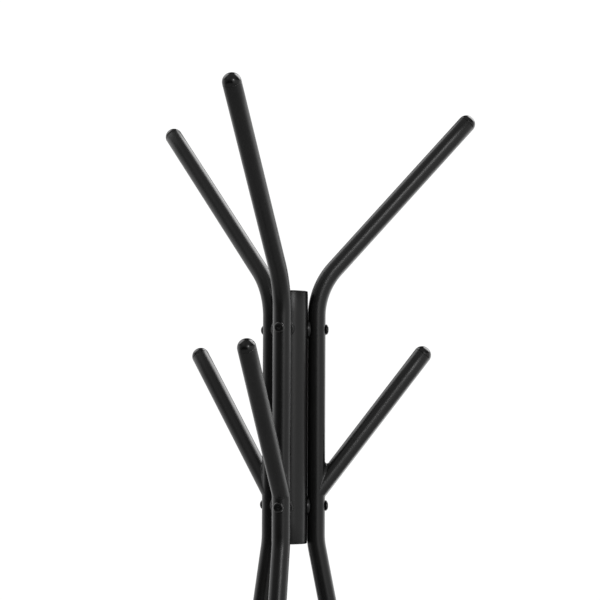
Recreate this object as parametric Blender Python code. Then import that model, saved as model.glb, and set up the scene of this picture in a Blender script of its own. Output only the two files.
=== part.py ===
"""Standing coat rack: three bent steel tubes bolted round a short central column.

Each bent tube is a leg below and a coat peg above, and carries a second, shorter peg welded on lower down.
Units are metres, +Z is up, the front tube points towards -Y, and the rack stands on z = 0.
"""

import math

import bmesh
import bpy
from mathutils import Matrix, Vector

# ---- overall sizes ----
HEIGHT = 1.750  # floor to the top of the upper peg caps
FOOT_CIRCLE_R = 0.270  # column axis to the middle of a foot, on the floor

# ---- bent tubes ----
TUBE_R = 0.0125
TUBE_WALL = 0.0015
BEND_R = 0.100  # centreline radius of both bends
UPPER_PEG_ANGLE = math.radians(42.3)  # from vertical
UPPER_CORNER_RISE = 0.0038  # upper peg axis meets the tube's vertical axis this far above the column
KNEE_RISE = 0.002  # leg axis meets the tube's vertical axis this far above the column's underside

# ---- lower pegs ----
LOWER_PEG_ANGLE = math.radians(38.4)
LOWER_PEG_LEN = 0.2478  # tube axis to the cap's seam, along the peg
PEG_ABOVE_BOLT = 0.0047  # lower bolt's head to the underside of the peg
WELD_R = 0.0015

# ---- column ----
COLUMN_R = 0.0245
COLUMN_WALL = 0.002
COLUMN_LEN = 0.3473  # over both end caps
COLUMN_DROP = 0.2579  # top of the rack to the top of the column
COLUMN_CAP_T = 0.0022
COLUMN_CAP_ROUND = 0.0012
UPPER_BOLT_INSET = 0.0526  # from the column's top
LOWER_BOLT_INSET = 0.0512  # from the column's underside

# ---- plastic caps and feet ----
DOME_H = 0.0118
PLUG_LEN = 0.014
PLUG_WALL = 0.002
FOOT_PROUD = 0.0013  # beyond the tube, all round
FOOT_LEN = 0.014  # end of the leg tube to the floor, along the leg
FOOT_ROUND = 0.0015

# ---- spacers ----
SPACER_R = 0.013
SPACER_HOLE_R = 0.006
SPACER_PROUD = 0.0025  # outer face beyond the column's surface
CLAMP_GAP = 0.0007  # column to tube at the bolt

# ---- bolts and threaded inserts ----
BOLT_R = 0.003
HEAD_R = 0.0073
HEAD_H = 0.0037
HEAD_RIM = 0.0010
SOCKET_AF = 0.004
SOCKET_DEPTH = 0.0022
BOLT_PAST_INSERT = 0.0015
INSERT_R = 0.0045
INSERT_LEN = 0.0125
INSERT_HEAD_R = 0.0055
INSERT_COLLAR_R = 0.00625
INSERT_COLLAR_T = 0.003

# ---- clearance between pieces that touch ----
GAP = 0.0002

TUBE_SEGS = 20
SMALL_SEGS = 12

AZIMUTHS = {"front": -90.0, "right": 30.0, "left": 150.0}

# ---- places that follow from the sizes ----
TUBE_AXIS_R = COLUMN_R + CLAMP_GAP + TUBE_R
FOOT_R = TUBE_R + FOOT_PROUD
COLUMN_TOP_Z = HEIGHT - COLUMN_DROP
COLUMN_BOTTOM_Z = COLUMN_TOP_Z - COLUMN_LEN
UPPER_BOLT_Z = COLUMN_TOP_Z - UPPER_BOLT_INSET
LOWER_BOLT_Z = COLUMN_BOTTOM_Z + LOWER_BOLT_INSET
UPPER_CORNER_Z = COLUMN_TOP_Z + UPPER_CORNER_RISE
KNEE_Z = COLUMN_BOTTOM_Z + KNEE_RISE
LEG_ANGLE = math.atan2(FOOT_CIRCLE_R - TUBE_AXIS_R, KNEE_Z)
DOME_TOP = math.hypot(DOME_H * math.cos(UPPER_PEG_ANGLE), TUBE_R * math.sin(UPPER_PEG_ANGLE))
UPPER_SEAM_Z = HEIGHT - DOME_TOP
UPPER_SEAM_R = TUBE_AXIS_R + (UPPER_SEAM_Z - UPPER_CORNER_Z) * math.tan(UPPER_PEG_ANGLE)
LOWER_PEG_Z = LOWER_BOLT_Z + HEAD_R + PEG_ABOVE_BOLT + TUBE_R * math.tan(LOWER_PEG_ANGLE / 2)
BOLT_SEAT_R = TUBE_AXIS_R + TUBE_R + GAP
INSERT_TOP_R = TUBE_AXIS_R - TUBE_R - GAP
COLLAR_TOP_R = math.sqrt((COLUMN_R - COLUMN_WALL) ** 2 - INSERT_COLLAR_R**2) - GAP


# ---------------------------------------------------------------- helpers


def clear_scene():
    for obj in list(bpy.data.objects):
        bpy.data.objects.remove(obj, do_unlink=True)


def make_material(name, colour, roughness, metallic):
    material = bpy.data.materials.new(name)
    material.use_nodes = True
    shader = material.node_tree.nodes["Principled BSDF"]
    shader.inputs["Base Color"].default_value = (*colour, 1.0)
    shader.inputs["Roughness"].default_value = roughness
    shader.inputs["Metallic"].default_value = metallic
    return material


def lathe(profile, segs, ring=False, radius_at=None):
    """Turns a profile of (radius, height) about Z. A ring profile is a loop that never meets the axis."""
    mesh = bmesh.new()
    rows = []
    for index, (radius, height) in enumerate(profile):
        if radius == 0.0:
            rows.append([mesh.verts.new((0.0, 0.0, height))])
            continue
        row = []
        for step in range(segs):
            angle = 2 * math.pi * step / segs
            size = radius_at(index, radius, angle) if radius_at else radius
            row.append(mesh.verts.new((size * math.cos(angle), size * math.sin(angle), height)))
        rows.append(row)
    pairs = list(zip(rows, rows[1:]))
    if ring:
        pairs.append((rows[-1], rows[0]))
    for low, high in pairs:
        for step in range(segs):
            after = (step + 1) % segs
            if len(low) == 1:
                mesh.faces.new((low[0], high[after], high[step]))
            elif len(high) == 1:
                mesh.faces.new((low[step], low[after], high[0]))
            else:
                mesh.faces.new((low[step], low[after], high[after], high[step]))
    bmesh.ops.recalc_face_normals(mesh, faces=mesh.faces)
    return mesh


def hollow_sweep(path, outer, inner, segs):
    """A tube along a path in the X-Z plane. The path holds (point, tangent) pairs."""
    mesh = bmesh.new()
    rings = []
    for radius in (outer, inner):
        rows = []
        for point, tangent in path:
            side = Vector((tangent.z, 0.0, -tangent.x))
            row = []
            for step in range(segs):
                angle = 2 * math.pi * step / segs
                offset = side * math.cos(angle) + Vector((0.0, 1.0, 0.0)) * math.sin(angle)
                row.append(mesh.verts.new(point + offset * radius))
            rows.append(row)
        rings.append(rows)
    skins = [list(zip(rows, rows[1:])) for rows in rings]
    ends = [(rings[0][0], rings[1][0]), (rings[0][-1], rings[1][-1])]
    for low, high in skins[0] + skins[1] + ends:
        for step in range(segs):
            after = (step + 1) % segs
            mesh.faces.new((low[step], low[after], high[after], high[step]))
    bmesh.ops.recalc_face_normals(mesh, faces=mesh.faces)
    return mesh


def closed_bead(points, radius, sides):
    """A closed loop of round bead through the points."""
    mesh = bmesh.new()
    rows = []
    count = len(points)
    for index, point in enumerate(points):
        tangent = (points[(index + 1) % count] - points[index - 1]).normalized()
        outward = Vector((point.x, point.y, 0.0))
        outward = (outward - tangent * outward.dot(tangent)).normalized()
        across = tangent.cross(outward)
        row = []
        for step in range(sides):
            angle = 2 * math.pi * step / sides
            offset = outward * math.cos(angle) + across * math.sin(angle)
            row.append(mesh.verts.new(point + offset * radius))
        rows.append(row)
    for index in range(count):
        low = rows[index]
        high = rows[(index + 1) % count]
        for step in range(sides):
            after = (step + 1) % sides
            mesh.faces.new((low[step], low[after], high[after], high[step]))
    bmesh.ops.recalc_face_normals(mesh, faces=mesh.faces)
    return mesh


def add_object(name, mesh, material, azimuth=0.0):
    data = bpy.data.meshes.new(name)
    mesh.to_mesh(data)
    mesh.free()
    obj = bpy.data.objects.new(name, data)
    bpy.context.scene.collection.objects.link(obj)
    if material:
        data.materials.append(material)
    obj.rotation_euler = (0.0, 0.0, math.radians(azimuth))
    obj.parent = rack
    return obj


def add_cutter(name, mesh, azimuth=0.0):
    cutter = add_object(name, mesh, None, azimuth)
    cutter.hide_render = True
    cutter.display_type = "WIRE"
    return cutter


def cut(obj, cutter):
    modifier = obj.modifiers.new(cutter.name, "BOOLEAN")
    modifier.operation = "DIFFERENCE"
    modifier.solver = "EXACT"
    modifier.object = cutter


def rod(radius, low, high, segs):
    return lathe([(0.0, low), (radius, low), (radius, high), (0.0, high)], segs)


def along_x(mesh, height):
    """Lays a turned shape along the radial X axis, at this height."""
    turn = Matrix.Rotation(math.pi / 2, 4, "Y")
    bmesh.ops.transform(mesh, matrix=Matrix.Translation((0.0, 0.0, height)) @ turn, verts=mesh.verts)
    return mesh


def along_axis(mesh, point, direction):
    """Stands a turned shape on a point, with its height along a direction in the X-Z plane."""
    turn = Matrix.Rotation(math.atan2(direction.x, direction.z), 4, "Y")
    bmesh.ops.transform(mesh, matrix=Matrix.Translation(point) @ turn, verts=mesh.verts)
    return mesh


# ---------------------------------------------------------------- bent tube


def arc_steps(centre, start_angle, end_angle, steps):
    """(point, tangent) pairs of a bend whose centre lies outboard of the tube, from the top down."""
    found = []
    for step in range(steps + 1):
        angle = start_angle + (end_angle - start_angle) * step / steps
        point = centre + Vector((-math.cos(angle), 0.0, math.sin(angle))) * BEND_R
        found.append((point, Vector((-math.sin(angle), 0.0, -math.cos(angle)))))
    return found


def upper_peg_direction():
    return Vector((math.sin(UPPER_PEG_ANGLE), 0.0, math.cos(UPPER_PEG_ANGLE)))


def lower_peg_direction():
    return Vector((math.sin(LOWER_PEG_ANGLE), 0.0, math.cos(LOWER_PEG_ANGLE)))


def leg_up_direction():
    return Vector((-math.sin(LEG_ANGLE), 0.0, math.cos(LEG_ANGLE)))


def upper_seam():
    return Vector((UPPER_SEAM_R, 0.0, UPPER_SEAM_Z))


def lower_peg_root():
    return Vector((TUBE_AXIS_R, 0.0, LOWER_PEG_Z))


def lower_seam():
    return lower_peg_root() + lower_peg_direction() * LOWER_PEG_LEN


def foot_point():
    return Vector((FOOT_CIRCLE_R, 0.0, 0.0))


def bent_tube_path():
    up = upper_peg_direction()
    down = leg_up_direction() * -1
    upper_z = UPPER_CORNER_Z - BEND_R * math.tan(UPPER_PEG_ANGLE / 2)
    knee_z = KNEE_Z + BEND_R * math.tan(LEG_ANGLE / 2)
    path = [(upper_seam() - up * GAP, up * -1)]
    path += arc_steps(Vector((TUBE_AXIS_R + BEND_R, 0.0, upper_z)), UPPER_PEG_ANGLE, 0.0, 8)
    path += arc_steps(Vector((TUBE_AXIS_R + BEND_R, 0.0, knee_z)), 0.0, -LEG_ANGLE, 3)
    path.append((foot_point() - down * FOOT_LEN, down))
    return path


def add_bent_tube(side, azimuth):
    mesh = hollow_sweep(bent_tube_path(), TUBE_R, TUBE_R - TUBE_WALL, TUBE_SEGS)
    tube = add_object(f"{side}_bent_tube", mesh, powder_coat, azimuth)
    for level, height in (("upper", UPPER_BOLT_Z), ("lower", LOWER_BOLT_Z)):
        drill = rod(BOLT_R + GAP, TUBE_AXIS_R - 2 * TUBE_R, TUBE_AXIS_R + 2 * TUBE_R, SMALL_SEGS)
        cut(tube, add_cutter(f"cut_{side}_{level}_tube_hole", along_x(drill, height), azimuth))


# ---------------------------------------------------------------- lower peg


def add_lower_peg(side, azimuth):
    along = lower_peg_direction()
    path = [(lower_peg_root(), along), (lower_seam() - along * GAP, along)]
    mesh = hollow_sweep(path, TUBE_R, TUBE_R - TUBE_WALL, TUBE_SEGS)
    peg = add_object(f"{side}_lower_peg", mesh, powder_coat, azimuth)
    reach = 4 * TUBE_R / math.sin(LOWER_PEG_ANGLE)
    cope = rod(TUBE_R + GAP, LOWER_PEG_Z - reach, LOWER_PEG_Z + reach, 2 * TUBE_SEGS)
    bmesh.ops.translate(cope, vec=Vector((TUBE_AXIS_R, 0.0, 0.0)), verts=cope.verts)
    cut(peg, add_cutter(f"cut_{side}_cope", cope, azimuth))


def weld_points(count):
    """Where a bead of the weld's size rests against both the tube and the peg."""
    along = lower_peg_direction()
    under = Vector((math.cos(LOWER_PEG_ANGLE), 0.0, -math.sin(LOWER_PEG_ANGLE)))
    across = Vector((0.0, 1.0, 0.0))
    reach = TUBE_R + GAP + WELD_R
    found = []
    for step in range(count):
        angle = 2 * math.pi * (step + 0.5) / count
        rise = reach * (abs(math.cos(angle)) - math.cos(angle) * along.z) / along.x
        offset = (under * math.cos(angle) + across * math.sin(angle)) * reach
        found.append(along * rise + offset)
    return found


def add_weld(side, azimuth):
    mesh = closed_bead(weld_points(22), WELD_R, 6)
    bmesh.ops.translate(mesh, vec=lower_peg_root(), verts=mesh.verts)
    add_object(f"{side}_peg_weld", mesh, powder_coat, azimuth)


# ---------------------------------------------------------------- caps and feet


def plug_profile(top):
    """The hollow stem that pushes into a tube, from its shoulder down, ending on the axis."""
    stem = TUBE_R - TUBE_WALL - GAP
    bore = stem - PLUG_WALL
    return [
        (stem, top),
        (stem, top - PLUG_LEN),
        (bore, top - PLUG_LEN),
        (bore, top - PLUG_WALL),
        (0.0, top - PLUG_WALL),
    ]


def add_peg_cap(name, seam, direction, azimuth):
    profile = [(0.0, DOME_H)]
    for degrees in (70, 50, 32, 15, 0):
        angle = math.radians(degrees)
        profile.append((TUBE_R * math.cos(angle), DOME_H * math.sin(angle)))
    mesh = lathe(profile + plug_profile(0.0), TUBE_SEGS)
    add_object(name, along_axis(mesh, seam, direction), cap_plastic, azimuth)


def add_foot(side, azimuth):
    shoulder = FOOT_LEN - GAP
    profile = [
        (0.0, -FOOT_R),
        (FOOT_R, -FOOT_R),
        (FOOT_R, shoulder - FOOT_ROUND),
        (FOOT_R - 0.3 * FOOT_ROUND, shoulder - 0.3 * FOOT_ROUND),
        (FOOT_R - FOOT_ROUND, shoulder),
    ]
    stem = TUBE_R - TUBE_WALL - GAP
    profile += [
        (stem, shoulder),
        (stem, FOOT_LEN + PLUG_LEN),
        (stem - PLUG_WALL, FOOT_LEN + PLUG_LEN),
        (stem - PLUG_WALL, FOOT_LEN + PLUG_WALL),
        (0.0, FOOT_LEN + PLUG_WALL),
    ]
    mesh = along_axis(lathe(profile, TUBE_SEGS), foot_point(), leg_up_direction())
    everything = mesh.verts[:] + mesh.edges[:] + mesh.faces[:]
    found = bmesh.ops.bisect_plane(
        mesh, geom=everything, plane_co=(0.0, 0.0, 0.0), plane_no=(0.0, 0.0, 1.0), clear_inner=True
    )
    rim = [item for item in found["geom_cut"] if isinstance(item, bmesh.types.BMEdge)]
    bmesh.ops.contextual_create(mesh, geom=rim)
    bmesh.ops.recalc_face_normals(mesh, faces=mesh.faces)
    add_object(f"{side}_foot", mesh, foot_rubber, azimuth)


def add_column_cap(name, height, flip):
    inside = COLUMN_R - COLUMN_WALL - GAP
    profile = [
        (0.0, COLUMN_CAP_T),
        (COLUMN_R - COLUMN_CAP_ROUND, COLUMN_CAP_T),
        (COLUMN_R - 0.3 * COLUMN_CAP_ROUND, COLUMN_CAP_T - 0.3 * COLUMN_CAP_ROUND),
        (COLUMN_R, COLUMN_CAP_T - COLUMN_CAP_ROUND),
        (COLUMN_R, 0.0),
        (inside, 0.0),
        (inside, -PLUG_LEN),
        (inside - PLUG_WALL, -PLUG_LEN),
        (inside - PLUG_WALL, -PLUG_WALL),
        (0.0, -PLUG_WALL),
    ]
    mesh = lathe(profile, 2 * TUBE_SEGS)
    if flip:
        bmesh.ops.rotate(mesh, matrix=Matrix.Rotation(math.pi, 3, "X"), verts=mesh.verts)
    bmesh.ops.translate(mesh, vec=Vector((0.0, 0.0, height)), verts=mesh.verts)
    add_object(name, mesh, cap_plastic)


# ---------------------------------------------------------------- column


def add_column():
    low = COLUMN_BOTTOM_Z + COLUMN_CAP_T + GAP
    high = COLUMN_TOP_Z - COLUMN_CAP_T - GAP
    bore = COLUMN_R - COLUMN_WALL
    mesh = lathe([(COLUMN_R, low), (COLUMN_R, high), (bore, high), (bore, low)], 2 * TUBE_SEGS, ring=True)
    column = add_object("column_tube", mesh, powder_coat)
    for side, azimuth in AZIMUTHS.items():
        for level, height in (("upper", UPPER_BOLT_Z), ("lower", LOWER_BOLT_Z)):
            drill = rod(INSERT_R + GAP, COLUMN_R / 2, 2 * COLUMN_R, SMALL_SEGS)
            cut(column, add_cutter(f"cut_{side}_{level}_column_hole", along_x(drill, height), azimuth))
    add_column_cap("column_top_cap", COLUMN_TOP_Z - COLUMN_CAP_T, False)
    add_column_cap("column_bottom_cap", COLUMN_BOTTOM_Z + COLUMN_CAP_T, True)


# ---------------------------------------------------------------- fasteners and spacers


def add_spacer(name, height, azimuth):
    deep = COLUMN_R - SPACER_R
    flat = COLUMN_R + SPACER_PROUD
    profile = [(SPACER_R, deep), (SPACER_R, flat), (SPACER_HOLE_R, flat), (SPACER_HOLE_R, deep)]
    spacer = add_object(name, along_x(lathe(profile, 20, ring=True), height), spacer_plastic, azimuth)
    low = height - 2 * SPACER_R
    high = height + 2 * SPACER_R
    cut(spacer, add_cutter(f"cut_{name}_column_side", rod(COLUMN_R + GAP, low, high, 48), azimuth))
    trough = rod(TUBE_R + GAP, low, high, 30)
    bmesh.ops.translate(trough, vec=Vector((TUBE_AXIS_R, 0.0, 0.0)), verts=trough.verts)
    cut(spacer, add_cutter(f"cut_{name}_tube_side", trough, azimuth))


def add_insert(name, height, azimuth):
    bore = BOLT_R + GAP
    end = INSERT_TOP_R - INSERT_LEN
    profile = [
        (bore, INSERT_TOP_R),
        (INSERT_HEAD_R, INSERT_TOP_R),
        (INSERT_HEAD_R, COLUMN_R + GAP),
        (INSERT_R, COLUMN_R + GAP),
        (INSERT_R, COLLAR_TOP_R),
        (INSERT_COLLAR_R, COLLAR_TOP_R),
        (INSERT_COLLAR_R, COLLAR_TOP_R - INSERT_COLLAR_T),
        (INSERT_R, COLLAR_TOP_R - INSERT_COLLAR_T),
        (INSERT_R, end),
        (bore, end),
    ]
    add_object(name, along_x(lathe(profile, SMALL_SEGS, ring=True), height), insert_steel, azimuth)


def hexagon(index, radius, angle):
    """Draws the socket's two rows as a hexagon and leaves the others round."""
    if abs(radius - SOCKET_AF / 2) > 1e-9:
        return radius
    return radius / math.cos((angle + math.pi / 6) % (math.pi / 3) - math.pi / 6)


def add_bolt(name, height, azimuth):
    seat = BOLT_SEAT_R
    tip = INSERT_TOP_R - INSERT_LEN - BOLT_PAST_INSERT
    top = seat + HEAD_H
    profile = [
        (0.0, tip),
        (BOLT_R - 0.0006, tip),
        (BOLT_R, tip + 0.0006),
        (BOLT_R, seat),
        (HEAD_R - 0.0003, seat),
        (HEAD_R, seat + HEAD_RIM / 2),
        (HEAD_R - 0.0003, seat + HEAD_RIM),
        (0.82 * HEAD_R, seat + 0.68 * HEAD_H),
        (0.60 * HEAD_R, seat + 0.92 * HEAD_H),
        (SOCKET_AF / 2 + 0.0008, top),
        (SOCKET_AF / 2, top - 0.0002),
        (SOCKET_AF / 2, top - SOCKET_DEPTH),
        (0.0, top - SOCKET_DEPTH),
    ]
    mesh = lathe(profile, SMALL_SEGS, radius_at=hexagon)
    add_object(name, along_x(mesh, height), bolt_steel, azimuth)


def stand_on_centre():
    """Moves the rack so that the middle of its box is over the origin."""
    bpy.context.view_layer.update()
    graph = bpy.context.evaluated_depsgraph_get()
    across = []
    for obj in rack.children:
        if obj.hide_render:
            continue
        evaluated = obj.evaluated_get(graph)
        across += [(evaluated.matrix_world @ vertex.co).y for vertex in evaluated.data.vertices]
    rack.location.y = -(min(across) + max(across)) / 2


# ---------------------------------------------------------------- build

clear_scene()
powder_coat = make_material("black_powder_coat", (0.018, 0.018, 0.018), 0.42, 0.0)
cap_plastic = make_material("black_cap_plastic", (0.012, 0.012, 0.012), 0.28, 0.0)
foot_rubber = make_material("black_foot_rubber", (0.020, 0.020, 0.020), 0.70, 0.0)
spacer_plastic = make_material("black_spacer_plastic", (0.015, 0.015, 0.015), 0.25, 0.0)
bolt_steel = make_material("black_bolt_steel", (0.020, 0.020, 0.020), 0.30, 1.0)
insert_steel = make_material("zinc_insert_steel", (0.60, 0.60, 0.58), 0.35, 1.0)

rack = bpy.data.objects.new("rack", None)
bpy.context.scene.collection.objects.link(rack)

add_column()
for side, azimuth in AZIMUTHS.items():
    add_bent_tube(side, azimuth)
    add_lower_peg(side, azimuth)
    add_weld(side, azimuth)
    add_peg_cap(f"{side}_upper_cap", upper_seam(), upper_peg_direction(), azimuth)
    add_peg_cap(f"{side}_lower_cap", lower_seam(), lower_peg_direction(), azimuth)
    add_foot(side, azimuth)
    for level, height in (("upper", UPPER_BOLT_Z), ("lower", LOWER_BOLT_Z)):
        add_spacer(f"{side}_{level}_spacer", height, azimuth)
        add_insert(f"{side}_{level}_insert", height, azimuth)
        add_bolt(f"{side}_{level}_bolt", height, azimuth)
stand_on_centre()
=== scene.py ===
"""Looks of the standing coat rack.

Every CAD node but the threaded inserts is replaced by a finer piece of the same size in the same place.
Pieces are made in the radial frame of one tube, with X outward from the column's axis and Z up, and are
then turned round the column.
"""

import math

import bmesh
import bpy
from mathutils import Matrix, Vector


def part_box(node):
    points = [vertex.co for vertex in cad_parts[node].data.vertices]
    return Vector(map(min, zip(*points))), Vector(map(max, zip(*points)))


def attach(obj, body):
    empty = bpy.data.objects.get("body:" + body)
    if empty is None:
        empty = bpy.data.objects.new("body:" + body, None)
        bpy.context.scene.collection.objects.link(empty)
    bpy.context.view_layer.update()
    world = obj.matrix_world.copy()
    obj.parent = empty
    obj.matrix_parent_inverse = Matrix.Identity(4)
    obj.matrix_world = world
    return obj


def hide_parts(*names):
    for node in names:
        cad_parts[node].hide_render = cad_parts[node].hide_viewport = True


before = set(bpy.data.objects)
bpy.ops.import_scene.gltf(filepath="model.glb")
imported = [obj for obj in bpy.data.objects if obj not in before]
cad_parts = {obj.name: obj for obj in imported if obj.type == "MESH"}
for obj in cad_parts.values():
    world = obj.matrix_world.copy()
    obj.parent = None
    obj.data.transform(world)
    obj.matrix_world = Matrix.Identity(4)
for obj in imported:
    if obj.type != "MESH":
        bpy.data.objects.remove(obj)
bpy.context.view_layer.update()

# ------------------------------------------------------------------ sizes, as in the CAD, in metres
HEIGHT = 1.750  # floor to the top of the upper peg caps
FOOT_CIRCLE_R = 0.270  # column axis to the middle of a foot, on the floor

TUBE_R = 0.0125
TUBE_WALL = 0.0015
BEND_R = 0.100
UPPER_PEG_ANGLE = math.radians(42.3)
UPPER_CORNER_RISE = 0.0038
KNEE_RISE = 0.002

LOWER_PEG_ANGLE = math.radians(38.4)
LOWER_PEG_LEN = 0.2478
PEG_ABOVE_BOLT = 0.0047

COLUMN_R = 0.0245
COLUMN_WALL = 0.002
COLUMN_LEN = 0.3473
COLUMN_DROP = 0.2579
COLUMN_CAP_T = 0.0022
UPPER_BOLT_INSET = 0.0526
LOWER_BOLT_INSET = 0.0512

DOME_H = 0.0118
PLUG_LEN = 0.014
PLUG_WALL = 0.002
FOOT_R = 0.0138
FOOT_LEN = 0.014

SPACER_R = 0.013
SPACER_HOLE_R = 0.006
SPACER_PROUD = 0.0025
CLAMP_GAP = 0.0007

BOLT_R = 0.003
BOLT_TIP_R = 0.0110  # column axis to the end of a bolt
HEAD_R = 0.0073
HEAD_H = 0.0037
SOCKET_AF = 0.004
SOCKET_DEPTH = 0.0022

SEAM = 0.0002  # tube end to the cap or foot on it
AZIMUTHS = {"front": -90.0, "right": 30.0, "left": 150.0}

# ------------------------------------------------------------------ fine shape, in metres
EDGE_BEND = 0.3  # a broken edge's middle point, as a share of the edge, in from either face
TUBE_EDGE = 0.00035
COLUMN_EDGE = 0.0004
COPE_RUN = 0.06  # length of peg over which its rows straighten out from the coped end

WELD_R = 0.0026
WELD_SPREAD = 0.0004  # thicker in the crotch and thinner under the peg by this much
WELD_RIPPLE = 0.05  # of the bead's size
WELD_RIPPLES = 34  # round the peg
WELD_LAP = 0.00012  # the bead's edges lie this far inside the tube and the peg
WELD_CROWN = 1.6  # fullness of the bead, in laps
WELD_ROOT = 0.0006  # the bead's hidden root, in from the joint

CAP_BAND = 0.0006  # straight band under the dome
CAP_LIP = 0.0003  # broken edge at the seam
PLUG_FIT = 0.0001  # between a stem and its tube, all round
PLUG_TAPER = 0.0006
PLUG_TAPER_LEN = 0.001
COLUMN_CAP_ROUNDS = {1: 0.0013, 2: 0.0003, 4: 0.0008}  # outline corner to its radius: top edge, seam, stem

FOOT_ROUND = 0.0018
SOLE_INSET = 0.0010  # the sole's rounded edge, inward and upward
SOLE_EDGE = 0.0003  # its middle point
SOLE_GROOVE = ((0.62, 0.0), (0.58, 0.0006), (0.30, 0.0006), (0.26, 0.0))  # share of the sole's size, depth

SPACER_ROLL = 0.0026  # radius of the rolled rim
SPACER_FIT = 0.00008  # between the pad and the tube or the column
MOST_ROLL = 0.45  # of the pad's thickness at the rim
INNER_ROLL = 0.35  # depth of the roll beside the column, as a share of the one beside the tube

HEAD_BOXY = 0.72  # 1 would round the head off as a plain dome
HEAD_SEAT = 0.00005  # between the tube and the head's underside
HEAD_BREAK = 0.0003  # broken edge round the underside
HEAD_BAND = 0.0008  # seat to the top of the head's straight side
HEAD_SHOULDER = 0.0010  # seat to where the head starts to round off
SOCKET_MARGIN = 0.0009  # from the socket to where the dome ends
SOCKET_LIP = ((0.0002, 0.0001), (0.0, 0.0004))  # how much wider than the socket, how far below the head's top
SOCKET_CONE = 0.0006
BOLT_CHAMFER = 0.0006  # at the tip
BOLT_NECK = 0.0004  # fillet under the head

UPPER_PEG_STEPS = 8  # steps along each stretch of a bent tube
UPPER_BEND_STEPS = 36
MIDDLE_STEPS = 10
KNEE_STEPS = 12
LEG_STEPS = 24
TUBE_SEGS = 96
COLUMN_SEGS = 128
FINE_SEGS = 144  # welds and spacers
BOLT_SEGS = 72
SHARP = 35.0  # degrees between faces that keep a sharp edge
WELD_SHARP = 60.0

# ------------------------------------------------------------------ places
TUBE_AXIS_R = COLUMN_R + CLAMP_GAP + TUBE_R
COLUMN_TOP_Z = HEIGHT - COLUMN_DROP
COLUMN_BOTTOM_Z = COLUMN_TOP_Z - COLUMN_LEN
UPPER_BOLT_Z = COLUMN_TOP_Z - UPPER_BOLT_INSET
LOWER_BOLT_Z = COLUMN_BOTTOM_Z + LOWER_BOLT_INSET
UPPER_CORNER_Z = COLUMN_TOP_Z + UPPER_CORNER_RISE
KNEE_Z = COLUMN_BOTTOM_Z + KNEE_RISE
LEG_ANGLE = math.atan2(FOOT_CIRCLE_R - TUBE_AXIS_R, KNEE_Z)
DOME_TOP = math.hypot(DOME_H * math.cos(UPPER_PEG_ANGLE), TUBE_R * math.sin(UPPER_PEG_ANGLE))
UPPER_SEAM_Z = HEIGHT - DOME_TOP
UPPER_SEAM_R = TUBE_AXIS_R + (UPPER_SEAM_Z - UPPER_CORNER_Z) * math.tan(UPPER_PEG_ANGLE)
LOWER_PEG_Z = LOWER_BOLT_Z + HEAD_R + PEG_ABOVE_BOLT + TUBE_R * math.tan(LOWER_PEG_ANGLE / 2)

low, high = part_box("column_tube")
AXIS = Vector(((low.x + high.x) / 2, (low.y + high.y) / 2, 0.0))
LEVELS = (("upper", UPPER_BOLT_Z), ("lower", LOWER_BOLT_Z))


def peg_direction(angle):
    """Up and outward, at an angle from vertical."""
    return Vector((math.sin(angle), 0.0, math.cos(angle)))


UPPER_ALONG = peg_direction(UPPER_PEG_ANGLE)
UPPER_SEAM = Vector((UPPER_SEAM_R, 0.0, UPPER_SEAM_Z))
ALONG = peg_direction(LOWER_PEG_ANGLE)
UNDER = Vector((math.cos(LOWER_PEG_ANGLE), 0.0, -math.sin(LOWER_PEG_ANGLE)))
ACROSS = Vector((0.0, 1.0, 0.0))
LOWER_ROOT = Vector((TUBE_AXIS_R, 0.0, LOWER_PEG_Z))
LOWER_SEAM = LOWER_ROOT + ALONG * LOWER_PEG_LEN
FOOT_POINT = Vector((FOOT_CIRCLE_R, 0.0, 0.0))
LEG_UP = Vector((-math.sin(LEG_ANGLE), 0.0, math.cos(LEG_ANGLE)))


# ------------------------------------------------------------------ mesh helpers
def grid(rows, loop=False):
    """Points and faces of closed rows of points. loop joins the last row to the first."""
    points, faces, starts = [], [], []
    for row in rows:
        starts.append(len(points))
        points += row
    pairs = list(zip(range(len(rows)), range(1, len(rows))))
    if loop:
        pairs.append((len(rows) - 1, 0))
    for a, b in pairs:
        count = max(len(rows[a]), len(rows[b]))
        for step in range(count):
            after = (step + 1) % count
            if len(rows[a]) == 1:
                faces.append((starts[a], starts[b] + after, starts[b] + step))
            elif len(rows[b]) == 1:
                faces.append((starts[a] + step, starts[a] + after, starts[b]))
            else:
                faces.append((starts[a] + step, starts[a] + after, starts[b] + after, starts[b] + step))
    return points, faces


def turned(profile, segs, shape=None):
    """Rows of points of a profile of (radius, height) turned about Z. A radius of 0 is one point."""
    rows = []
    for index, (radius, height) in enumerate(profile):
        if radius == 0.0:
            rows.append([Vector((0.0, 0.0, height))])
            continue
        row = []
        for step in range(segs):
            angle = 2 * math.pi * step / segs
            size = shape(index, radius, angle) if shape else radius
            row.append(Vector((size * math.cos(angle), size * math.sin(angle), height)))
        rows.append(row)
    return rows


def rounded(profile, radii, steps=6):
    """The profile with each corner of a given radius turned into an arc."""
    out = []
    count = len(profile)
    for index, corner in enumerate(profile):
        size = radii.get(index, 0.0)
        if not size or index in (0, count - 1):
            out.append(corner)
            continue
        here = Vector(corner)
        back = Vector(profile[index - 1]) - here
        ahead = Vector(profile[index + 1]) - here
        angle = back.angle(ahead)
        reach = size / math.tan(angle / 2)
        start = here + back.normalized() * reach
        end = here + ahead.normalized() * reach
        centre = here + (back.normalized() + ahead.normalized()).normalized() * (size / math.sin(angle / 2))
        a, b = start - centre, end - centre
        for step in range(steps + 1):
            spot = centre + a.lerp(b, step / steps).normalized() * size
            out.append((spot.x, spot.y))
    return out


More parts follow.
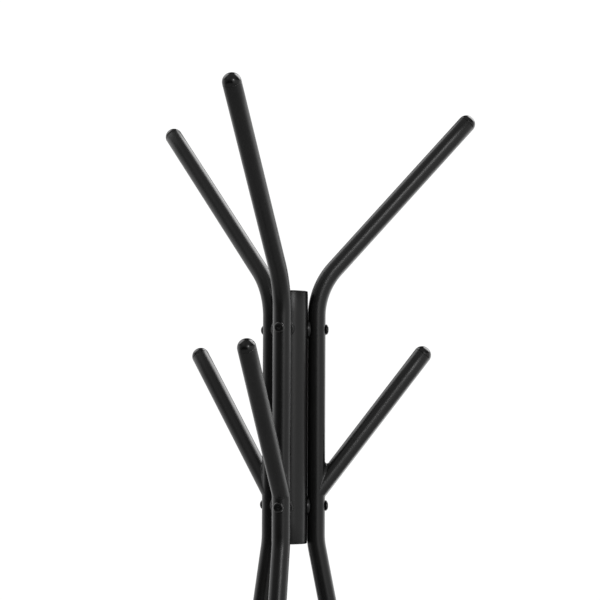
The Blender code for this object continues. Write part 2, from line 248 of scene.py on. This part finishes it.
def add_piece(name, rows, material, azimuth, replaced, loop=False, sharp=SHARP):
    """A piece made in one tube's radial frame, turned to its azimuth, that stands for one CAD node."""
    points, faces = grid(rows, loop)
    turn = Matrix.Translation(AXIS) @ Matrix.Rotation(math.radians(azimuth), 4, "Z")
    data = bpy.data.meshes.new(name)
    data.from_pydata([turn @ Vector(p) for p in points], [], faces)
    data.update()
    mesh = bmesh.new()
    mesh.from_mesh(data)
    bmesh.ops.recalc_face_normals(mesh, faces=mesh.faces)
    mesh.to_mesh(data)
    mesh.free()
    data.shade_smooth()
    data.set_sharp_from_angle(angle=math.radians(sharp))
    data.materials.append(material)
    obj = bpy.data.objects.new(name, data)
    bpy.context.scene.collection.objects.link(obj)
    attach(obj, "root")
    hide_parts(replaced)


def along_x(rows, height):
    """Lays turned rows along the radial X axis at this height."""
    return [[Vector((p.z, p.y, height - p.x)) for p in row] for row in rows]


def along_axis(rows, base, direction):
    """Stands turned rows on a base point, tilted from Z to a direction in the radial plane."""
    turn = Matrix.Translation(base) @ Matrix.Rotation(math.atan2(direction.x, direction.z), 4, "Y")
    return [[turn @ p for p in row] for row in rows]


# ------------------------------------------------------------------ materials
def grey(level, *alpha):
    """A grey as a colour of three values, or of four with an alpha."""
    return (level, level, level, *alpha)


def new_material(name):
    """A material, its node tree and its shader."""
    material = bpy.data.materials.new(name)
    material.use_nodes = True
    tree = material.node_tree
    return material, tree, tree.nodes["Principled BSDF"]


def node(tree, kind, **inputs):
    """A new node with some of its inputs set."""
    made = tree.nodes.new(kind)
    for key, value in inputs.items():
        made.inputs[key].default_value = value
    return made


def noise(tree, scale, detail=2.0, rough=0.5, stretch=None):
    """A noise in the object's own coordinates, in features per metre."""
    coords = tree.nodes.new("ShaderNodeTexCoord")
    source = coords.outputs["Object"]
    if stretch:
        mapping = node(tree, "ShaderNodeMapping", Scale=stretch)
        tree.links.new(source, mapping.inputs["Vector"])
        source = mapping.outputs["Vector"]
    made = node(tree, "ShaderNodeTexNoise", Scale=scale, Detail=detail, Roughness=rough)
    tree.links.new(source, made.inputs["Vector"])
    return made.outputs["Fac"]


def spread(tree, value, given, wanted):
    """Maps a value from the given (low, high) range to the wanted one."""
    made = tree.nodes.new("ShaderNodeMapRange")
    made.inputs["From Min"].default_value, made.inputs["From Max"].default_value = given
    made.inputs["To Min"].default_value, made.inputs["To Max"].default_value = wanted
    tree.links.new(value, made.inputs["Value"])
    return made.outputs["Result"]


def colour_mix(tree, value, first, second):
    """A colour between two. The first may be another node's output."""
    made = tree.nodes.new("ShaderNodeMix")
    made.data_type = "RGBA"
    if isinstance(first, tuple):
        made.inputs[6].default_value = (*first, 1.0)
    else:
        tree.links.new(first, made.inputs[6])
    made.inputs[7].default_value = (*second, 1.0)
    tree.links.new(value, made.inputs[0])
    return made.outputs[2]


def finish_surface(tree, shader, colour, roughness, bumps, strength, depth):
    """Gives the shader its colour and roughness, and a bump of a strength and a depth in metres."""
    tree.links.new(colour, shader.inputs["Base Color"])
    tree.links.new(roughness, shader.inputs["Roughness"])
    made = node(tree, "ShaderNodeBump", Strength=strength, Distance=depth)
    tree.links.new(bumps, made.inputs["Height"])
    tree.links.new(made.outputs["Normal"], shader.inputs["Normal"])


def powder_coat():
    """Satin black powder coat: fine orange peel, a little cloudiness in the gloss, a few paler specks."""
    material, tree, shader = new_material("black_powder_coat")
    cloud = noise(tree, scale=14.0, detail=3.0)
    peel = noise(tree, scale=620.0, rough=0.4)
    fleck = noise(tree, scale=2600.0, detail=0.0)
    base = colour_mix(tree, spread(tree, cloud, (0.35, 0.65), (0.0, 1.0)), grey(0.0045), grey(0.0060))
    specked = colour_mix(tree, spread(tree, fleck, (0.72, 0.80), (0.0, 0.6)), base, grey(0.045))
    satin = spread(tree, cloud, (0.3, 0.7), (0.27, 0.33))
    finish_surface(tree, shader, specked, satin, peel, strength=0.10, depth=0.0004)
    return material


def moulded_plastic(name, level, gloss, grain, depth):
    """Moulded black plastic: a faint flow in the gloss and a very fine grain."""
    material, tree, shader = new_material(name)
    flow = noise(tree, scale=60.0, stretch=(1.0, 1.0, 0.3))
    fine = noise(tree, scale=grain)
    colour = colour_mix(tree, spread(tree, flow, (0.35, 0.65), (0.0, 1.0)), grey(level), grey(level * 1.35))
    sheen = spread(tree, flow, (0.3, 0.7), (gloss - 0.02, gloss + 0.03))
    finish_surface(tree, shader, colour, sheen, fine, strength=0.10, depth=depth)
    return material


def plated_steel(name, dark, light, gloss):
    """Plated steel: fine marks and cloudy plating."""
    material, tree, shader = new_material(name)
    cloud = noise(tree, scale=220.0, detail=3.0)
    marks = noise(tree, scale=1500.0, detail=1.0)
    colour = colour_mix(tree, spread(tree, cloud, (0.3, 0.7), (0.0, 1.0)), dark, light)
    sheen = spread(tree, cloud, (0.3, 0.7), (gloss - 0.04, gloss + 0.05))
    finish_surface(tree, shader, colour, sheen, marks, strength=0.12, depth=0.0002)
    return material


def set_uniform(material, **values):
    """Sets values that are the same all over the surface, on the shader's own sockets."""
    shader = material.node_tree.nodes["Principled BSDF"]
    for key, value in values.items():
        shader.inputs[key.replace("_", " ")].default_value = value


COAT = powder_coat()
CAP = moulded_plastic("black_cap_plastic", level=0.004, gloss=0.10, grain=1500.0, depth=0.00015)
SPACER = moulded_plastic("black_spacer_plastic", level=0.005, gloss=0.26, grain=1500.0, depth=0.00015)
RUBBER = moulded_plastic("black_foot_rubber", level=0.020, gloss=0.60, grain=900.0, depth=0.0004)
BOLT = plated_steel("black_bolt_steel", dark=grey(0.004), light=grey(0.007), gloss=0.14)
ZINC = plated_steel("zinc_insert_steel", dark=(0.50, 0.50, 0.49), light=(0.68, 0.68, 0.66), gloss=0.32)
set_uniform(BOLT, Coat_Weight=0.3, Coat_Roughness=0.10)
set_uniform(ZINC, Metallic=1.0)


# ------------------------------------------------------------------ bent tubes
def arc_steps(height, start, end, steps):
    """Points and directions round a bend whose centre is at this height, outward of the tube."""
    centre = Vector((TUBE_AXIS_R + BEND_R, 0.0, height))
    found = []
    for step in range(steps + 1):
        angle = start + (end - start) * step / steps
        spot = centre + Vector((-math.cos(angle), 0.0, math.sin(angle))) * BEND_R
        found.append((spot, Vector((-math.sin(angle), 0.0, -math.cos(angle)))))
    return found


def straight(start, end, steps):
    """Points and directions along a straight run, with its two ends left out."""
    run = end - start
    return [(start + run * step / steps, run.normalized()) for step in range(1, steps)]


def bent_path():
    """The tube's centreline from the upper peg's seam down to the foot, with more points on its bends."""
    bend_z = UPPER_CORNER_Z - BEND_R * math.tan(UPPER_PEG_ANGLE / 2)
    knee_z = KNEE_Z + BEND_R * math.tan(LEG_ANGLE / 2)
    first = UPPER_SEAM - UPPER_ALONG * SEAM
    bend = arc_steps(bend_z, UPPER_PEG_ANGLE, 0.0, UPPER_BEND_STEPS)
    knee = arc_steps(knee_z, 0.0, -LEG_ANGLE, KNEE_STEPS)
    last = FOOT_POINT + LEG_UP * FOOT_LEN
    path = [(first, UPPER_ALONG * -1)] + straight(first, bend[0][0], UPPER_PEG_STEPS) + bend
    path += straight(bend[-1][0], knee[0][0], MIDDLE_STEPS) + knee
    path += straight(knee[-1][0], last, LEG_STEPS) + [(last, LEG_UP * -1)]
    return path


def ring_at(spot, tangent, radius):
    """One round row of a tube, square to its centreline."""
    side = Vector((tangent.z, 0.0, -tangent.x))
    row = []
    for step in range(TUBE_SEGS):
        angle = 2 * math.pi * step / TUBE_SEGS
        row.append(spot + (side * math.cos(angle) + ACROSS * math.sin(angle)) * radius)
    return row


def tube_rows(path):
    """A hollow tube whose two ends have a slightly broken edge, as a closed loop of rows."""
    outer, inner = [], []
    for index, (spot, tangent) in enumerate(path):
        if index in (0, len(path) - 1):
            inward = tangent if index == 0 else tangent * -1
            near = ring_at(spot, tangent, TUBE_R - TUBE_EDGE)
            mid = ring_at(spot + inward * TUBE_EDGE * EDGE_BEND, tangent, TUBE_R - TUBE_EDGE * EDGE_BEND)
            far = ring_at(spot + inward * TUBE_EDGE, tangent, TUBE_R)
            outer += [near, mid, far] if index == 0 else [far, mid, near]
        else:
            outer.append(ring_at(spot, tangent, TUBE_R))
        inner.append(ring_at(spot, tangent, TUBE_R - TUBE_WALL))
    return outer + inner[::-1]


def bent_tube(side, azimuth):
    """A leg, a straight middle and an upper peg in one length of tube."""
    rows = tube_rows(bent_path())
    add_piece(f"{side}_tube", rows, COAT, azimuth, f"{side}_bent_tube", loop=True)


# ------------------------------------------------------------------ lower pegs and welds
def meeting(angle, peg_radius):
    """How far along the peg its line at this angle meets the tube's surface."""
    reach = math.sqrt(max(TUBE_R**2 - (peg_radius * math.sin(angle)) ** 2, 0.0))
    return (reach - peg_radius * math.cos(angle) * ALONG.z) / ALONG.x


def spoke(angle):
    """The direction out from the peg's axis at an angle, 0 under the peg."""
    return UNDER * math.cos(angle) + ACROSS * math.sin(angle)


def lower_peg(side, azimuth):
    """A straight hollow tube, coped to the bent tube, with a slightly broken edge at its cap."""
    angles = [2 * math.pi * step / TUBE_SEGS for step in range(TUBE_SEGS)]
    bore = TUBE_R - TUBE_WALL
    rows_each = 5  # in the coped run, and again in the rest of the peg

    def row(radius, reach):
        return [LOWER_ROOT + ALONG * reach(a) + spoke(a) * radius for a in angles]

    def coped(share):
        return lambda a: meeting(a, TUBE_R) + (COPE_RUN - meeting(a, TUBE_R)) * share

    def square(reach):
        return lambda a: reach

    shell = [row(TUBE_R, coped(step / (2 * rows_each))) for step in range(rows_each + 1)]
    for step in range(1, rows_each):
        shell.append(row(TUBE_R, square(COPE_RUN + (LOWER_PEG_LEN - COPE_RUN) * step / rows_each)))
    end = LOWER_PEG_LEN - SEAM
    for back, inset in ((1.0, 0.0), (EDGE_BEND, EDGE_BEND), (0.0, 1.0)):
        shell.append(row(TUBE_R - TUBE_EDGE * inset, square(end - TUBE_EDGE * back)))
    shell.append(row(bore, square(end)))
    shell.append(row(bore, lambda a: meeting(a, bore)))
    add_piece(f"{side}_peg", shell, COAT, azimuth, f"{side}_lower_peg", loop=True)


def weld(side, azimuth):
    """A rippled bead between tube and peg, full in the crotch and under the peg and thin at the sides."""
    arc = 8
    rows = []
    for step in range(FINE_SEGS):
        angle = 2 * math.pi * (step + 0.5) / FINE_SEGS
        out = spoke(angle)
        ripple = 1.0 + WELD_RIPPLE * math.sin(angle * WELD_RIPPLES)
        size = (WELD_R - WELD_SPREAD * math.cos(angle)) * ripple
        reach = TUBE_R + size
        along = (abs(math.cos(angle)) - math.cos(angle) * ALONG.z) / ALONG.x
        centre = ALONG * (reach * along) + out * reach
        flat = Vector((centre.x, centre.y, 0.0)).normalized()
        to_tube = flat * -(size + WELD_LAP)
        to_peg = out * -(size + WELD_LAP)
        root = ALONG * meeting(angle, TUBE_R) + out * TUBE_R - (flat + out).normalized() * WELD_ROOT
        row = [LOWER_ROOT + root, LOWER_ROOT + centre + to_tube]
        for part in range(1, arc):
            crown = 1.0 if part in (1, arc - 1) else WELD_CROWN
            out_of_crotch = to_tube.lerp(to_peg, part / arc).normalized()
            row.append(LOWER_ROOT + centre + out_of_crotch * (size - WELD_LAP * crown))
        row.append(LOWER_ROOT + centre + to_peg)
        rows.append(row)
    replaced = f"{side}_peg_weld"
    add_piece(f"{side}_weld", rows, COAT, azimuth, replaced, loop=True, sharp=WELD_SHARP)


# ------------------------------------------------------------------ caps, feet, column
def dome_profile():
    """A domed cap from its top, down its side and lip, to the stem inside the tube. Height 0 is the seam."""
    steps = 24
    profile = [(0.0, DOME_H)]
    for step in range(1, steps):
        angle = math.radians(90 - 90 * step / steps)
        profile.append((TUBE_R * math.cos(angle), DOME_H * math.sin(angle)))
    profile += [(TUBE_R, CAP_BAND), (TUBE_R, CAP_LIP)]
    profile += [(TUBE_R - CAP_LIP * EDGE_BEND, CAP_LIP * EDGE_BEND), (TUBE_R - CAP_LIP, 0.0)]
    stem = TUBE_R - TUBE_WALL - PLUG_FIT
    profile += [(stem, 0.0), (stem, -PLUG_LEN + PLUG_TAPER_LEN), (stem - PLUG_TAPER, -PLUG_LEN)]
    profile += [(stem - PLUG_WALL, -PLUG_LEN), (stem - PLUG_WALL, -PLUG_WALL), (0.0, -PLUG_WALL)]
    return profile


def peg_cap(name, replaced, seam, direction, azimuth):
    """A domed cap on the end of a peg."""
    rows = along_axis(turned(dome_profile(), TUBE_SEGS), seam, direction)
    add_piece(name, rows, CAP, azimuth, replaced)


def foot(side, azimuth):
    """A foot plug on the leg's axis, cut level at the floor, with a shallow ring groove in its sole."""
    steps = 8
    shoulder = FOOT_LEN - SEAM
    profile = []
    for step in range(steps + 1):
        angle = math.radians(90 * step / steps)
        inset, drop = FOOT_ROUND * (1 - math.cos(angle)), FOOT_ROUND * (1 - math.sin(angle))
        profile.append((FOOT_R - inset, shoulder - drop))
    stem = TUBE_R - TUBE_WALL - PLUG_FIT
    profile += [(stem, shoulder), (stem, FOOT_LEN + PLUG_LEN), (stem - PLUG_WALL, FOOT_LEN + PLUG_LEN)]
    profile += [(stem - PLUG_WALL, FOOT_LEN + PLUG_WALL), (0.0, FOOT_LEN + PLUG_WALL)]
    rows = along_axis(turned(profile, TUBE_SEGS), FOOT_POINT, LEG_UP)
    sole, edge, rim = [], [], []
    for spot in rows[0]:
        down = spot - LEG_UP * (spot.z / LEG_UP.z)
        out = (down - FOOT_POINT).normalized()
        sole.append(down - out * SOLE_INSET)
        edge.append(down - out * SOLE_EDGE + LEG_UP * SOLE_EDGE)
        rim.append(down + LEG_UP * SOLE_INSET)
    groove = []
    for share, depth in SOLE_GROOVE:
        groove.append([FOOT_POINT + (spot - FOOT_POINT) * share + Vector((0.0, 0.0, depth)) for spot in sole])
    body = [[FOOT_POINT.copy()]] + groove[::-1] + [sole, edge, rim] + rows
    add_piece(f"{side}_foot_plug", body, RUBBER, azimuth, f"{side}_foot")


def column():
    """The column tube between its two caps, with a broken edge at both ends."""
    steps = 12
    low_z = COLUMN_BOTTOM_Z + COLUMN_CAP_T + SEAM
    high_z = COLUMN_TOP_Z - COLUMN_CAP_T - SEAM
    bore = COLUMN_R - COLUMN_WALL
    bend = COLUMN_EDGE * EDGE_BEND
    face = COLUMN_R - COLUMN_EDGE
    profile = [(face, low_z), (COLUMN_R - bend, low_z + bend), (COLUMN_R, low_z + COLUMN_EDGE)]
    for step in range(1, steps):
        profile.append((COLUMN_R, low_z + (high_z - low_z) * step / steps))
    profile += [(COLUMN_R, high_z - COLUMN_EDGE), (COLUMN_R - bend, high_z - bend), (face, high_z)]
    profile += [(bore, high_z), (bore, low_z)]
    add_piece("column", turned(profile, COLUMN_SEGS), COAT, 0.0, "column_tube", loop=True)


def column_cap(name, height, sign):
    """A flat cap with a rounded edge. Its seam is at this height, and sign is 1 on top and -1 underneath."""
    inside = COLUMN_R - COLUMN_WALL - PLUG_FIT
    profile = [
        (0.0, COLUMN_CAP_T),
        (COLUMN_R, COLUMN_CAP_T),
        (COLUMN_R, 0.0),
        (inside, 0.0),
        (inside, -PLUG_LEN),
        (inside - PLUG_WALL, -PLUG_LEN),
        (inside - PLUG_WALL, -PLUG_WALL),
        (0.0, -PLUG_WALL),
    ]
    rows = turned(rounded(profile, COLUMN_CAP_ROUNDS), COLUMN_SEGS)
    rows = [[Vector((p.x, p.y, height + sign * p.z)) for p in row] for row in rows]
    add_piece(f"{name}_plug", rows, CAP, 0.0, name)


# ------------------------------------------------------------------ spacers and bolts
def spacer(name, height, azimuth):
    """A round pad with a rolled rim, hollowed to the column on one side and to the tube on the other."""
    flat_steps, rim_steps = 12, 8
    flat_r = SPACER_R - SPACER_ROLL
    spans = [SPACER_HOLE_R + (flat_r - SPACER_HOLE_R) * step / flat_steps for step in range(flat_steps + 1)]
    turns = [math.radians(90 * step / rim_steps) for step in range(rim_steps + 1)]

    def inner(across):
        """How far out the column's side lies, at a distance across."""
        return math.sqrt((COLUMN_R + SPACER_FIT) ** 2 - across**2)

    def outer(across):
        """How far out the tube's side lies: a trough for the tube in a flat face."""
        hollow = TUBE_R + SPACER_FIT
        trough = TUBE_AXIS_R - math.sqrt(max(hollow**2 - across**2, 0.0))
        return min(trough, COLUMN_R + SPACER_PROUD)

    def ring(face, radius, drop):
        """A row on one face. Its radius and drop follow the roll that the pad's thickness leaves room for."""
        row = []
        for step in range(FINE_SEGS):
            angle = 2 * math.pi * step / FINE_SEGS
            rim = SPACER_R * math.cos(angle)
            roll = min(SPACER_ROLL, MOST_ROLL * (outer(rim) - inner(rim)))
            far = radius(roll)
            across, up = far * math.cos(angle), far * math.sin(angle)
            row.append(Vector((face(across) + drop(roll), across, height + up)))
        return row

    def fixed(size):
        return lambda roll: size

    def rolled(turn):
        return lambda roll: SPACER_R - roll * (1 - math.cos(turn))

    def sunk(turn, share):
        return lambda roll: share * roll * (1 - math.sin(turn))

    rows = [ring(inner, fixed(span), fixed(0.0)) for span in spans]
    rows += [ring(inner, rolled(turn), sunk(turn, INNER_ROLL)) for turn in turns[::-1]]
    rows += [ring(outer, rolled(turn), sunk(turn, -1.0)) for turn in turns]
    rows += [ring(outer, fixed(span), fixed(0.0)) for span in spans[::-1]]
    add_piece(f"{name}_pad", rows, SPACER, azimuth, name, loop=True)


def bolt_profile():
    """A bolt from its tip to the bottom of its socket, and how many of the points come before the socket."""
    steps = 16
    seat = TUBE_AXIS_R + TUBE_R + HEAD_SEAT
    top = seat + HEAD_H
    socket = SOCKET_AF / 2
    mouth = socket + SOCKET_MARGIN
    tip = BOLT_TIP_R
    profile = [(0.0, tip), (BOLT_R - BOLT_CHAMFER, tip), (BOLT_R, tip + BOLT_CHAMFER)]
    profile += [(BOLT_R, seat - BOLT_NECK), (BOLT_R + HEAD_BREAK, seat), (HEAD_R - HEAD_BREAK, seat)]
    profile += [(HEAD_R, seat + HEAD_BREAK), (HEAD_R, seat + HEAD_BAND)]
    for step in range(1, steps + 1):
        angle = math.radians(90 * step / steps)
        radius = mouth + (HEAD_R - mouth) * math.cos(angle) ** HEAD_BOXY
        rise = HEAD_SHOULDER + (HEAD_H - HEAD_SHOULDER) * math.sin(angle) ** HEAD_BOXY
        profile.append((radius, seat + rise))
    before_socket = len(profile)
    profile += [(socket + wider, top - drop) for wider, drop in SOCKET_LIP]
    profile += [(socket, top - SOCKET_DEPTH), (0.0, top - SOCKET_DEPTH - SOCKET_CONE)]
    return profile, before_socket


def bolt(name, height, azimuth):
    """A button-head bolt with a hexagon socket, lying along the radial axis."""
    profile, before_socket = bolt_profile()

    def shape(index, radius, angle):
        """Round up to the socket, and six-sided inside it."""
        if index < before_socket:
            return radius
        return radius / math.cos((angle + math.pi / 6) % (math.pi / 3) - math.pi / 6)

    rows = along_x(turned(profile, BOLT_SEGS, shape), height)
    add_piece(f"{name}_screw", rows, BOLT, azimuth, name)


# ------------------------------------------------------------------ build the rack
column()
column_cap("column_top_cap", COLUMN_TOP_Z - COLUMN_CAP_T, 1)
column_cap("column_bottom_cap", COLUMN_BOTTOM_Z + COLUMN_CAP_T, -1)
for side, azimuth in AZIMUTHS.items():
    bent_tube(side, azimuth)
    lower_peg(side, azimuth)
    weld(side, azimuth)
    foot(side, azimuth)
    peg_cap(f"{side}_upper_dome", f"{side}_upper_cap", UPPER_SEAM, UPPER_ALONG, azimuth)
    peg_cap(f"{side}_lower_dome", f"{side}_lower_cap", LOWER_SEAM, ALONG, azimuth)
    for level, height in LEVELS:
        spacer(f"{side}_{level}_spacer", height, azimuth)
        bolt(f"{side}_{level}_bolt", height, azimuth)
        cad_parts[f"{side}_{level}_insert"].material_slots[0].material = ZINC


# ------------------------------------------------------------------ floor, light and camera
VIEW_TURN = math.radians(16.88)  # the camera stands this far to the right of the front tube
CAMERA_AWAY = 2.4186  # from the column's axis
CAMERA_UP = 1.3177
CAMERA_PITCH = math.radians(3.841)
CAMERA_YAW = math.radians(0.318)
CAMERA_ROLL = math.radians(0.246)
LENS_MM = 104.82
SENSOR_MM = 36.0

FLOOR_R = 2.0
FLOOR_RINGS = 8
FLOOR_SOLID = 0.55  # the floor is whole up to this radius, and gone beyond the next
FLOOR_GONE = 1.9
FLOOR_GREY = 0.92
FLOOR_ROUGHNESS = 0.8

# Broad light: turn from the camera's side to the view's right in degrees, cosines where it starts and where
# it is full, and strength
BACK_LIGHT = (180.0, -0.35, 0.40, 0.95)
SIDE_LIGHT = (90.0, 0.05, 0.45, 0.58)
CEILING_FADE = (0.22, 0.45)  # cosines to straight up between which the broad light goes out
FLOOR_FADE = (0.15, 0.60)  # cosines to straight down between which the floor's light takes over
FLOOR_LIGHT = 0.27
FILL_LIGHT = 0.04
BACKDROP = 1.05  # the white that the camera sees
# Soft boxes: turn from the camera's side to the view's right, rise, full within and gone beyond, in degrees,
# and strength
SOFTBOXES = (
    (129.0, 43.0, 15.0, 29.0, 5.0),
    (-127.0, 43.0, 10.0, 27.0, 2.1),
    (20.0, 19.5, 4.0, 8.0, 6.5),
    (20.0, 17.5, 6.0, 26.0, 0.7),
    (-78.0, 28.0, 8.0, 48.0, 0.2),
    (0.0, 60.0, 20.0, 65.0, 0.3),
    (132.0, -18.0, 10.0, 36.0, 0.7),
    (145.0, -42.0, 12.0, 26.0, 3.5),
)


def room_direction(turn, rise):
    """A direction from the rack: at the camera, turned to the right of the view and raised, in degrees."""
    turn, rise = math.radians(turn), math.radians(rise)
    flat = Vector((math.sin(turn) * math.cos(rise), -math.cos(turn) * math.cos(rise), math.sin(rise)))
    return Matrix.Rotation(VIEW_TURN, 3, "Z") @ flat


def make_floor():
    """A pale floor that thins out into the white round it."""
    rings = [FLOOR_R * step / FLOOR_RINGS for step in range(FLOOR_RINGS + 1)]
    points, faces = grid(turned([(r, 0.0) for r in rings], TUBE_SEGS))
    data = bpy.data.meshes.new("floor")
    data.from_pydata(points, [], faces)
    floor = bpy.data.objects.new("floor", data)
    floor.location = AXIS
    bpy.context.scene.collection.objects.link(floor)
    material, tree, shader = new_material("studio_floor")
    shader.inputs["Base Color"].default_value = grey(FLOOR_GREY, 1.0)
    shader.inputs["Roughness"].default_value = FLOOR_ROUGHNESS
    clear = tree.nodes.new("ShaderNodeBsdfTransparent")
    coords = tree.nodes.new("ShaderNodeTexCoord")
    length = tree.nodes.new("ShaderNodeVectorMath")
    length.operation = "LENGTH"
    tree.links.new(coords.outputs["Object"], length.inputs[0])
    fade = spread(tree, length.outputs["Value"], (FLOOR_SOLID, FLOOR_GONE), (0.0, 1.0))
    fade.node.interpolation_type = "SMOOTHSTEP"
    mix = tree.nodes.new("ShaderNodeMixShader")
    tree.links.new(fade, mix.inputs[0])
    tree.links.new(shader.outputs[0], mix.inputs[1])
    tree.links.new(clear.outputs[0], mix.inputs[2])
    tree.links.new(mix.outputs[0], tree.nodes["Material Output"].inputs["Surface"])
    data.materials.append(material)
    floor.visible_glossy = False


def make_world():
    """A white studio: light behind and to the right of the rack, dim in front, with soft boxes round it."""
    world = bpy.data.worlds.new("studio")
    bpy.context.scene.world = world
    world.use_nodes = True
    tree = world.node_tree
    tree.nodes.clear()
    coords = tree.nodes.new("ShaderNodeTexCoord")

    def towards(direction, start, full, strength):
        """Light that rises smoothly from nothing at cosine start to its strength at cosine full."""
        dot = tree.nodes.new("ShaderNodeVectorMath")
        dot.operation = "DOT_PRODUCT"
        dot.inputs[1].default_value = direction
        tree.links.new(coords.outputs["Generated"], dot.inputs[0])
        made = spread(tree, dot.outputs["Value"], (start, full), (0.0, strength))
        made.node.interpolation_type = "SMOOTHSTEP"
        return made

    def maths(operation, first, second):
        made = tree.nodes.new("ShaderNodeMath")
        made.operation = operation
        tree.links.new(first, made.inputs[0])
        if isinstance(second, float):
            made.inputs[1].default_value = second
        else:
            tree.links.new(second, made.inputs[1])
        return made.outputs[0]

    broad = [towards(room_direction(turn, 0.0), *rest) for turn, *rest in (BACK_LIGHT, SIDE_LIGHT)]
    light = maths("MAXIMUM", *broad)
    above = towards(Vector((0.0, 0.0, 1.0)), *CEILING_FADE, -1.0)
    light = maths("MULTIPLY", light, maths("ADD", above, 1.0))
    below = towards(Vector((0.0, 0.0, -1.0)), *FLOOR_FADE, 1.0)
    floor_mix = tree.nodes.new("ShaderNodeMix")
    tree.links.new(below, floor_mix.inputs[0])
    tree.links.new(light, floor_mix.inputs[2])
    floor_mix.inputs[3].default_value = FLOOR_LIGHT
    light = maths("ADD", floor_mix.outputs[0], FILL_LIGHT)
    for turn, rise, full, gone, strength in SOFTBOXES:
        start, end = math.cos(math.radians(gone)), math.cos(math.radians(full))
        light = maths("ADD", light, towards(room_direction(turn, rise), start, end, strength))
    background = node(tree, "ShaderNodeBackground", Color=grey(1.0, 1.0))
    tree.links.new(light, background.inputs["Strength"])
    white = node(tree, "ShaderNodeBackground", Color=grey(1.0, 1.0), Strength=BACKDROP)
    path = tree.nodes.new("ShaderNodeLightPath")
    mix = tree.nodes.new("ShaderNodeMixShader")
    tree.links.new(path.outputs["Is Camera Ray"], mix.inputs[0])
    tree.links.new(background.outputs[0], mix.inputs[1])
    tree.links.new(white.outputs[0], mix.inputs[2])
    output = tree.nodes.new("ShaderNodeOutputWorld")
    tree.links.new(mix.outputs[0], output.inputs["Surface"])


def make_camera():
    """A long lens at chest height, looking a little up."""
    data = bpy.data.cameras.new("camera")
    data.sensor_width = SENSOR_MM
    data.lens = LENS_MM
    data.clip_start = 0.05
    data.clip_end = 100.0
    camera = bpy.data.objects.new("camera", data)
    bpy.context.scene.collection.objects.link(camera)
    sin_yaw, cos_yaw = math.sin(CAMERA_YAW), math.cos(CAMERA_YAW)
    sin_roll, cos_roll = math.sin(CAMERA_ROLL), math.cos(CAMERA_ROLL)
    flat = math.cos(CAMERA_PITCH)
    forward = Vector((sin_yaw * flat, cos_yaw * flat, math.sin(CAMERA_PITCH)))
    right = Vector((cos_yaw, -sin_yaw, 0.0))
    up = right.cross(forward)
    tilted = right * cos_roll + up * sin_roll
    risen = up * cos_roll - right * sin_roll
    facing = Matrix((tilted, risen, -forward)).transposed().to_4x4()
    room = Matrix.Rotation(VIEW_TURN, 4, "Z")
    spot = AXIS + room @ Vector((0.0, -CAMERA_AWAY, CAMERA_UP))
    camera.matrix_world = Matrix.Translation(spot) @ room @ facing
    bpy.context.scene.camera = camera


make_floor()
make_world()
make_camera()
bpy.context.scene.view_settings.view_transform = "Standard"
